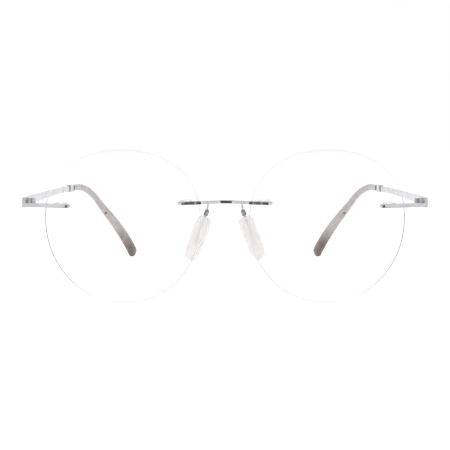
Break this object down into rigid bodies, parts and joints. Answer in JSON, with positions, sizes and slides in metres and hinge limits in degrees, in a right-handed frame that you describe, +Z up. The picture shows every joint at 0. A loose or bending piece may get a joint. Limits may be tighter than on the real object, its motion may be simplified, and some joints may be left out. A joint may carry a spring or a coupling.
{
  "type": "rimless eyeglasses",
  "caption": "Round rimless eyeglasses with drilled lenses, a slim metal bridge, silicone nose pads on wire arms and folding temples with bent plastic tips.",
  "frame": {"origin": "on the surface the open glasses stand on, under the middle of the whole object", "axes": "+X towards the wearer's left, +Y from the lenses back to the ears, +Z up"},
  "size_m": [0.137, 0.1243, 0.0529],
  "materials": {
    "lens": "polished clear",
    "satin_metal": "satin silver",
    "hinge_metal": "satin, darker in the gaps",
    "tortoise_inlay": "gloss, mottled brown",
    "clear_bushing": "clear",
    "pad_core": "translucent",
    "silicone": "frosted translucent",
    "tip_plastic": "translucent grey that turns brown towards the end",
    "dark_trim": "satin dark"
  },
  "bodies": {
    "front": {"lens_left": "lens", "lens_right": "lens", "bridge": "satin_metal", "bridge_inlay_left": "tortoise_inlay", "bridge_inlay_center": "tortoise_inlay", "bridge_inlay_right": "tortoise_inlay", "endpiece_inlay_left": "tortoise_inlay", "endpiece_inlay_right": "tortoise_inlay", "nasal_bushing_left": "clear_bushing", "nasal_bushing_right": "clear_bushing", "temporal_bushing_left": "clear_bushing", "temporal_bushing_right": "clear_bushing", "pad_arm_left": "satin_metal", "pad_arm_right": "satin_metal", "pad_pin_left": "hinge_metal", "pad_pin_right": "hinge_metal", "endpiece_left": "satin_metal", "endpiece_right": "satin_metal", "front_hinge_leaf_left": "hinge_metal", "front_hinge_leaf_right": "hinge_metal", "hinge_screw_left": "hinge_metal", "hinge_screw_right": "hinge_metal"},
    "temple_left": {"temple_hinge_leaf_left": "hinge_metal", "temple_left": "satin_metal", "temple_ferrule_left": "satin_metal", "tip_ring_left": "dark_trim", "tip_core_left": "satin_metal", "temple_tip_left": "tip_plastic", "tip_pin_left": "dark_trim"},
    "temple_right": {"temple_hinge_leaf_right": "hinge_metal", "temple_right": "satin_metal", "temple_ferrule_right": "satin_metal", "tip_ring_right": "dark_trim", "tip_core_right": "satin_metal", "temple_tip_right": "tip_plastic", "tip_pin_right": "dark_trim"},
    "pad_left": {"pad_core_left": "pad_core", "nose_pad_left": "silicone"},
    "pad_right": {"pad_core_right": "pad_core", "nose_pad_right": "silicone"}
  },
  "joints": [
    {"name": "temple_left_fold", "type": "hinge", "parent": "front", "child": "temple_left", "pos_m": [0.0663, -0.05122, 0.0343], "axis": [0, 0, 1], "range_deg": [0, 76]},
    {"name": "temple_right_fold", "type": "hinge", "parent": "front", "child": "temple_right", "pos_m": [-0.0663, -0.05122, 0.0343], "axis": [0, 0, -1], "range_deg": [0, 68]},
    {"name": "pad_left_rock", "type": "hinge", "parent": "front", "child": "pad_left", "pos_m": [0.00644, -0.05119, 0.03078], "axis": [0.3497, 0.9272, 0.1342], "range_deg": [-8, 8]},
    {"name": "pad_right_rock", "type": "hinge", "parent": "front", "child": "pad_right", "pos_m": [-0.00644, -0.05119, 0.03078], "axis": [-0.3497, 0.9272, 0.1342], "range_deg": [-8, 8]}
  ]
}
